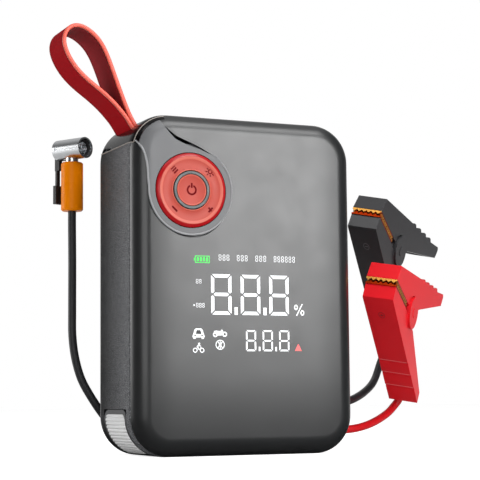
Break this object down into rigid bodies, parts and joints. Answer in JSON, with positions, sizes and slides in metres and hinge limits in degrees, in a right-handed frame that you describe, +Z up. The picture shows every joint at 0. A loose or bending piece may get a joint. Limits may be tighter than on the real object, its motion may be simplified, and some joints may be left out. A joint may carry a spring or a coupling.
{
  "type": "jump starter pack",
  "caption": "Upright rounded power pack with a corner wrist strap, control ring, glowing display, corner torch, air hose with tyre chuck, and a plug with jump leads and spring clamps.",
  "frame": {"origin": "centre of the flat base under the case", "axes": "+Z up, -Y out of the front face with the display, +X towards the side with the port flap"},
  "size_m": [0.3077, 0.1458, 0.2411],
  "materials": {
    "graphite_plastic": "satin",
    "grained_plastic": "fine leather grain",
    "gloss_black": "polished",
    "panel_grey": "satin",
    "red_silicone": "soft satin",
    "red_plastic": "moulded, low gloss",
    "salmon_ring": "satin",
    "grey_bezel": "satin",
    "white_plastic": "diffusing",
    "circuit_board": "solder mask",
    "cell_foil": "laminated foil",
    "dark_plastic": "moulded",
    "motor_steel": "plated",
    "sintered_brass": "sintered",
    "acetal": "moulded",
    "die_cast": "cast",
    "steel": "plated",
    "chrome_head": "satin chrome",
    "orange_plastic": "moulded",
    "hose_rubber": "matt",
    "red_jacket": "satin",
    "black_jacket": "satin",
    "socket_blue": "moulded",
    "black_plastic": "moulded",
    "lens": "ribbed clear",
    "copper_plate": "copper plated"
  },
  "bodies": {
    "pack": {"front_shell": "graphite_plastic", "rear_shell": "graphite_plastic", "side_wrap": "grained_plastic", "strap_saddle": "gloss_black", "wrist_strap": "red_silicone", "strap_pin": "steel", "control_panel": "panel_grey", "ring_bezel": "grey_bezel", "switch_board": "circuit_board", "light_guide": "white_plastic", "display_board": "circuit_board", "main_board": "circuit_board", "battery_cells": "cell_foil", "battery_tray": "dark_plastic", "compressor_motor": "motor_steel", "gearbox_frame": "die_cast", "cylinder": "die_cast", "cylinder_head": "die_cast", "air_tube": "hose_rubber", "air_elbow": "gloss_black", "air_hose": "hose_rubber", "chuck_barrel": "orange_plastic", "chuck_head": "chrome_head", "chuck_seal": "hose_rubber", "lever_pin": "steel", "jump_socket": "socket_blue", "jump_plug": "dark_plastic", "red_lead": "red_jacket", "black_lead": "black_jacket", "lamp_bezel": "gloss_black", "lamp_lens": "lens", "lamp_reflector": "white_plastic", "lamp_board": "white_plastic", "usb_ports": "steel", "flap_pin": "steel", "case_screws": "steel", "red_lower_arm": "red_plastic", "red_pivot_pin": "steel", "red_spring": "steel", "red_lower_jaw": "copper_plate", "black_lower_arm": "black_plastic", "black_pivot_pin": "steel", "black_spring": "steel", "black_lower_jaw": "copper_plate"},
    "motor_pinion": {"motor_pinion": "sintered_brass"},
    "crank_gear": {"crank_gear": "acetal"},
    "piston_rod": {"piston_rod": "die_cast"},
    "power_button": {"power_button": "salmon_ring"},
    "ring_gimbal": {"ring_gimbal": "dark_plastic"},
    "rocker_ring": {"rocker_ring": "salmon_ring"},
    "chuck_lever": {"chuck_lever": "black_plastic"},
    "red_upper": {"red_upper_arm": "red_plastic", "red_upper_jaw": "copper_plate"},
    "black_upper": {"black_upper_arm": "black_plastic", "black_upper_jaw": "copper_plate"},
    "port_flap": {"port_flap": "hose_rubber"}
  },
  "joints": [
    {"name": "crank_turn", "type": "hinge", "parent": "pack", "child": "crank_gear", "pos_m": [-0.038, -0.015, 0.0726], "axis": [0, 1, 0], "continuous": true},
    {"name": "pinion_turn", "type": "hinge", "parent": "pack", "child": "motor_pinion", "pos_m": [-0.038, -0.015, 0.095], "axis": [0, 1, 0], "continuous": true},
    {"name": "piston_slide", "type": "slide", "parent": "pack", "child": "piston_rod", "axis": [0, 0, 1], "range_m": [0, 0.012]},
    {"name": "power_press", "type": "slide", "parent": "pack", "child": "power_button", "axis": [0, 1, 0], "range_m": [0, 0.0006], "stiffness_N_per_m": 200, "springref_m": -0.004},
    {"name": "gimbal_tilt", "type": "hinge", "parent": "pack", "child": "ring_gimbal", "pos_m": [-0.0345, -0.0296, 0.147], "axis": [0.7071, 0, 0.7071], "range_deg": [-1.5, 1.5], "stiffness_Nm_per_rad": 0.05},
    {"name": "ring_tilt", "type": "hinge", "parent": "ring_gimbal", "child": "rocker_ring", "pos_m": [-0.0345, -0.0296, 0.147], "axis": [-0.7071, 0, 0.7071], "range_deg": [-1.5, 1.5], "stiffness_Nm_per_rad": 0.05},
    {"name": "chuck_lock", "type": "hinge", "parent": "pack", "child": "chuck_lever", "pos_m": [-0.08103, 0.05502, 0.1796], "axis": [0.878, 0.4787, 0], "range_deg": [0, 90]},
    {"name": "red_clamp_open", "type": "hinge", "parent": "pack", "child": "red_upper", "pos_m": [0.1257, 0.0188, 0.08491], "axis": [-0.7082, 0.6881, 0.1579], "range_deg": [0, 26], "stiffness_Nm_per_rad": 0.5, "springref_deg": -22.92, "deforming": ["red_spring"]},
    {"name": "black_clamp_open", "type": "hinge", "parent": "pack", "child": "black_upper", "pos_m": [0.13658, 0.05143, 0.1269], "axis": [-0.6516, 0.7348, 0.1881], "range_deg": [0, 26], "stiffness_Nm_per_rad": 0.5, "springref_deg": -22.92, "deforming": ["black_spring"]},
    {"name": "flap_open", "type": "hinge", "parent": "pack", "child": "port_flap", "pos_m": [0.0668, 0.0105, 0.087], "axis": [0, 0, 1], "range_deg": [0, 100]}
  ],
  "couplings": [
    {"joint": "pinion_turn", "follows": "crank_turn", "ratio": -3.6667}
  ]
}
